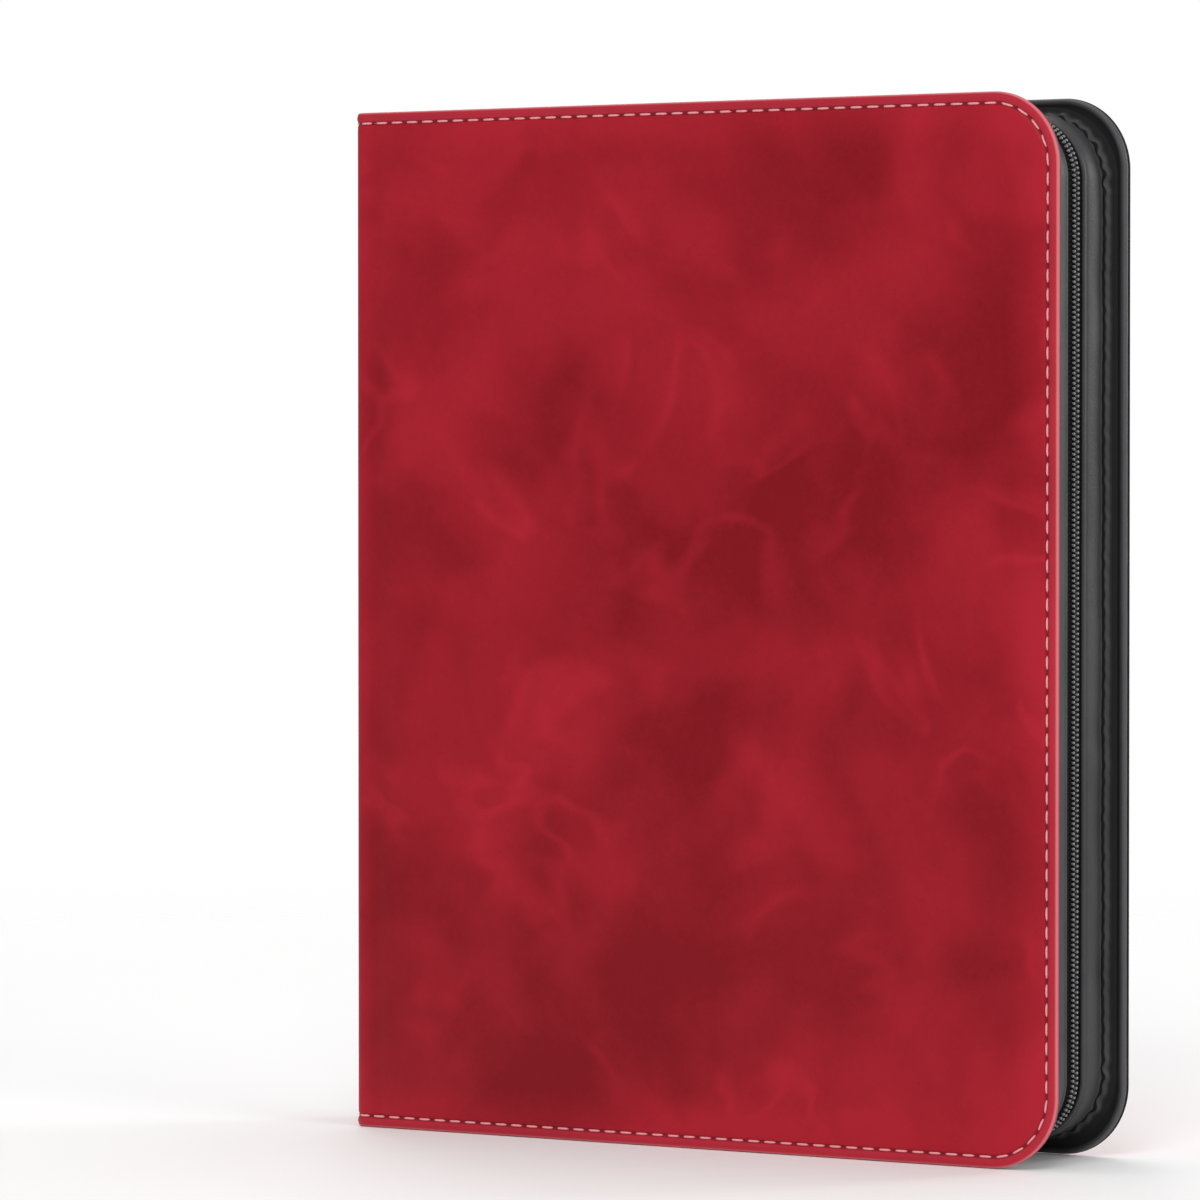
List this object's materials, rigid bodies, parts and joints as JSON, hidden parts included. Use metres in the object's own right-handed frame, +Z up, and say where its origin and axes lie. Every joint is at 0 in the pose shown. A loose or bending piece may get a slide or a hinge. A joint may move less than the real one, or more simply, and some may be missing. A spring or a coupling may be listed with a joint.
{
  "type": "trading card binder",
  "caption": "Zip-round ring-free binder with padded leather covers, black side walls and nine-pocket leaves that hold cards in rigid sleeves.",
  "frame": {"origin": "under the middle of the closed binder, on the surface it stands on", "axes": "+Z up along the spine, +X from the spine to the fore edge, the front cover faces -Y"},
  "size_m": [0.285, 0.054, 0.364],
  "materials": {
    "red_leather": "satin, mottled",
    "foam": "soft foam",
    "greyboard": "raw board edge",
    "black_lining": "matt",
    "pink_thread": "twisted thread",
    "black_gusset": "satin grain",
    "zip_tape": "woven",
    "zip_coil": "satin",
    "binding_cloth": "woven",
    "black_sheet": "satin",
    "zip_stop": "satin",
    "black_zip_metal": "semi-gloss paint",
    "guard_cloth": "woven",
    "clear_film": "clear",
    "rigid_clear": "clear, rigid",
    "printed_card": "printed card"
  },
  "bodies": {
    "spine": {"spine_skin": "red_leather", "spine_board": "greyboard", "spine_lining": "black_lining", "front_hinge_skin": "red_leather", "back_hinge_skin": "red_leather", "front_hinge_lining": "black_lining", "back_hinge_lining": "black_lining", "binding_strip": "binding_cloth", "leaf_roots": "black_sheet"},
    "front_cover": {"front_skin": "red_leather", "front_foam": "foam", "front_board": "greyboard", "front_lining": "black_lining", "front_seam_thread": "pink_thread", "front_gusset": "black_gusset", "front_zip_tape": "zip_tape", "front_zip_coil": "zip_coil"},
    "back_cover": {"back_skin": "red_leather", "back_foam": "foam", "back_board": "greyboard", "back_lining": "black_lining", "back_seam_thread": "pink_thread", "back_gusset": "black_gusset", "back_zip_tape": "zip_tape", "back_zip_coil": "zip_coil", "top_stop": "zip_stop", "bottom_stop": "zip_stop"},
    "slider": {"slider_body": "black_zip_metal", "slider_bridge": "black_zip_metal"},
    "pull": {"pull_tab": "black_zip_metal"},
    "leaf_01": {"leaf_01_sheet": "black_sheet", "leaf_01_pockets": "clear_film"},
    "leaf_02": {"leaf_02_sheet": "black_sheet", "leaf_02_pockets": "clear_film"},
    "leaf_03": {"leaf_03_sheet": "black_sheet", "leaf_03_pockets": "clear_film"},
    "leaf_04": {"leaf_04_sheet": "black_sheet", "leaf_04_pockets": "clear_film"},
    "leaf_05": {"leaf_05_sheet": "black_sheet", "leaf_05_pockets": "clear_film", "leaf_05_toploaders": "rigid_clear", "leaf_05_cards": "printed_card", "gutter_guard": "guard_cloth"},
    "leaf_06": {"leaf_06_sheet": "black_sheet", "leaf_06_pockets": "clear_film", "leaf_06_toploaders": "rigid_clear", "leaf_06_cards": "printed_card"},
    "leaf_07": {"leaf_07_sheet": "black_sheet", "leaf_07_pockets": "clear_film"},
    "leaf_08": {"leaf_08_sheet": "black_sheet", "leaf_08_pockets": "clear_film"},
    "leaf_09": {"leaf_09_sheet": "black_sheet", "leaf_09_pockets": "clear_film"},
    "leaf_10": {"leaf_10_sheet": "black_sheet", "leaf_10_pockets": "clear_film"}
  },
  "joints": [
    {"name": "front_cover_hinge", "type": "hinge", "parent": "spine", "child": "front_cover", "pos_m": [-0.1415, -0.026, 0.182], "axis": [0, 0, -1], "range_deg": [0, 90], "deforming": ["front_hinge_skin", "front_hinge_lining"]},
    {"name": "back_cover_hinge", "type": "hinge", "parent": "spine", "child": "back_cover", "pos_m": [-0.1415, 0.026, 0.182], "axis": [0, 0, 1], "range_deg": [0, 90], "deforming": ["back_hinge_skin", "back_hinge_lining"]},
    {"name": "slider_travel", "type": "slide", "parent": "back_cover", "child": "slider", "axis": [1, 0, 0], "range_m": [0, 0.228]},
    {"name": "pull_hinge", "type": "hinge", "parent": "slider", "child": "pull", "pos_m": [-0.1285, 0, 0.3597], "axis": [0, -1, 0], "range_deg": [0, 145]},
    {"name": "leaf_01_fold", "type": "hinge", "parent": "spine", "child": "leaf_01", "pos_m": [-0.1365, -0.0201, 0.182], "axis": [0, 0, -1], "range_deg": [0, 90]},
    {"name": "leaf_02_fold", "type": "hinge", "parent": "spine", "child": "leaf_02", "pos_m": [-0.1335, -0.0159, 0.182], "axis": [0, 0, -1], "range_deg": [0, 90]},
    {"name": "leaf_03_fold", "type": "hinge", "parent": "spine", "child": "leaf_03", "pos_m": [-0.1305, -0.0117, 0.182], "axis": [0, 0, -1], "range_deg": [0, 90]},
    {"name": "leaf_04_fold", "type": "hinge", "parent": "spine", "child": "leaf_04", "pos_m": [-0.1275, -0.0075, 0.182], "axis": [0, 0, -1], "range_deg": [0, 90]},
    {"name": "leaf_05_fold", "type": "hinge", "parent": "spine", "child": "leaf_05", "pos_m": [-0.1245, -0.0033, 0.182], "axis": [0, 0, -1], "range_deg": [0, 90]},
    {"name": "leaf_06_fold", "type": "hinge", "parent": "spine", "child": "leaf_06", "pos_m": [-0.1245, 0.0033, 0.182], "axis": [0, 0, 1], "range_deg": [0, 90]},
    {"name": "leaf_07_fold", "type": "hinge", "parent": "spine", "child": "leaf_07", "pos_m": [-0.1275, 0.0075, 0.182], "axis": [0, 0, 1], "range_deg": [0, 90]},
    {"name": "leaf_08_fold", "type": "hinge", "parent": "spine", "child": "leaf_08", "pos_m": [-0.1305, 0.0117, 0.182], "axis": [0, 0, 1], "range_deg": [0, 90]},
    {"name": "leaf_09_fold", "type": "hinge", "parent": "spine", "child": "leaf_09", "pos_m": [-0.1335, 0.0159, 0.182], "axis": [0, 0, 1], "range_deg": [0, 90]},
    {"name": "leaf_10_fold", "type": "hinge", "parent": "spine", "child": "leaf_10", "pos_m": [-0.1365, 0.0201, 0.182], "axis": [0, 0, 1], "range_deg": [0, 90]}
  ],
  "couplings": [
    {"joint": "leaf_01_fold", "follows": "front_cover_hinge", "ratio": 1},
    {"joint": "leaf_02_fold", "follows": "front_cover_hinge", "ratio": 1},
    {"joint": "leaf_03_fold", "follows": "front_cover_hinge", "ratio": 1},
    {"joint": "leaf_04_fold", "follows": "front_cover_hinge", "ratio": 1},
    {"joint": "leaf_05_fold", "follows": "front_cover_hinge", "ratio": 1},
    {"joint": "leaf_06_fold", "follows": "back_cover_hinge", "ratio": 1},
    {"joint": "leaf_07_fold", "follows": "back_cover_hinge", "ratio": 1},
    {"joint": "leaf_08_fold", "follows": "back_cover_hinge", "ratio": 1},
    {"joint": "leaf_09_fold", "follows": "back_cover_hinge", "ratio": 1},
    {"joint": "leaf_10_fold", "follows": "back_cover_hinge", "ratio": 1}
  ]
}
